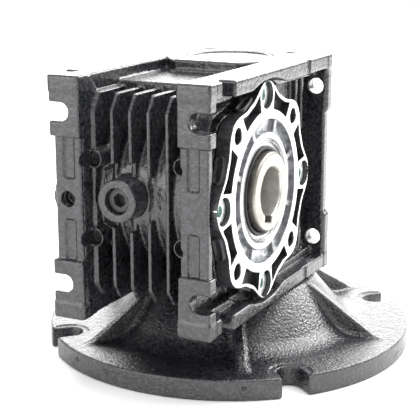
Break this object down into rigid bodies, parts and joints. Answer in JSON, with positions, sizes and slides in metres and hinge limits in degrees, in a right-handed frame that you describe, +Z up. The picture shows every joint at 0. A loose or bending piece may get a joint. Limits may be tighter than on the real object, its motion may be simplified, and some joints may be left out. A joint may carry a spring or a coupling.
{
  "type": "worm gearbox",
  "caption": "Right-angle worm reducer with a hollow output shaft, scalloped output cover, cooling fins, foot lugs and a round motor adapter flange.",
  "frame": {"origin": "middle of the unit's footprint, on the plane that the motor flange rests on", "axes": "+Z up along the worm axis, +X along the output axis out of the removable cover, -Y towards the finned face and its lugs"},
  "size_m": [0.2, 0.21, 0.157],
  "materials": {
    "enamel": "gloss black enamel over a cast surface",
    "cap_enamel": "gloss black enamel",
    "machined": "machined face with turning marks",
    "shaft_steel": "ground steel",
    "bearing_steel": "polished",
    "zinc": "zinc plated",
    "bronze": "cut bronze",
    "rubber": "moulded lip seal",
    "gasket": "pressed paper gasket"
  },
  "bodies": {
    "casing": {"housing": "enamel", "side_cover": "machined", "cover_gasket": "gasket", "output_bearing_front_outer": "bearing_steel", "output_seal_front": "rubber", "output_bearing_rear_outer": "bearing_steel", "output_seal_rear": "rubber", "cover_screw_1": "zinc", "cover_screw_2": "zinc", "cover_screw_3": "zinc", "cover_screw_4": "zinc", "worm_bearing_input_outer": "bearing_steel", "worm_bearing_rear_outer": "bearing_steel", "input_snap_ring": "bearing_steel", "rear_snap_ring": "bearing_steel", "input_seal": "rubber", "rear_end_cap": "cap_enamel", "motor_flange": "enamel", "flange_gasket": "gasket", "flange_screw_1": "zinc", "flange_screw_2": "zinc", "flange_screw_3": "zinc", "flange_screw_4": "zinc", "oil_plug": "zinc"},
    "output": {"output_shaft": "shaft_steel", "worm_wheel_rim": "bronze", "output_bearing_front_inner": "bearing_steel", "output_bearing_rear_inner": "bearing_steel"},
    "worm": {"worm_shaft": "shaft_steel", "worm_bearing_input_inner": "bearing_steel", "worm_bearing_rear_inner": "bearing_steel"},
    "output_cage_front": {"output_bearing_front_balls": "bearing_steel"},
    "output_cage_rear": {"output_bearing_rear_balls": "bearing_steel"},
    "worm_cage_input": {"worm_bearing_input_balls": "bearing_steel"},
    "worm_cage_rear": {"worm_bearing_rear_balls": "bearing_steel"}
  },
  "joints": [
    {"name": "wheel_spin", "type": "hinge", "parent": "casing", "child": "output", "pos_m": [0, -0.045, 0.097], "axis": [1, 0, 0], "continuous": true},
    {"name": "worm_spin", "type": "hinge", "parent": "casing", "child": "worm", "pos_m": [0, 0.005, 0], "axis": [0, 0, 1], "continuous": true},
    {"name": "output_cage_front_spin", "type": "hinge", "parent": "casing", "child": "output_cage_front", "pos_m": [0, -0.045, 0.097], "axis": [1, 0, 0], "continuous": true},
    {"name": "output_cage_rear_spin", "type": "hinge", "parent": "casing", "child": "output_cage_rear", "pos_m": [0, -0.045, 0.097], "axis": [1, 0, 0], "continuous": true},
    {"name": "worm_cage_input_spin", "type": "hinge", "parent": "casing", "child": "worm_cage_input", "pos_m": [0, 0.005, 0], "axis": [0, 0, 1], "continuous": true},
    {"name": "worm_cage_rear_spin", "type": "hinge", "parent": "casing", "child": "worm_cage_rear", "pos_m": [0, 0.005, 0], "axis": [0, 0, 1], "continuous": true}
  ],
  "couplings": [
    {"joint": "wheel_spin", "follows": "worm_spin", "ratio": -0.033333},
    {"joint": "output_cage_front_spin", "follows": "worm_spin", "ratio": -0.014259},
    {"joint": "output_cage_rear_spin", "follows": "worm_spin", "ratio": -0.014259},
    {"joint": "worm_cage_input_spin", "follows": "worm_spin", "ratio": 0.41765},
    {"joint": "worm_cage_rear_spin", "follows": "worm_spin", "ratio": 0.38358}
  ]
}
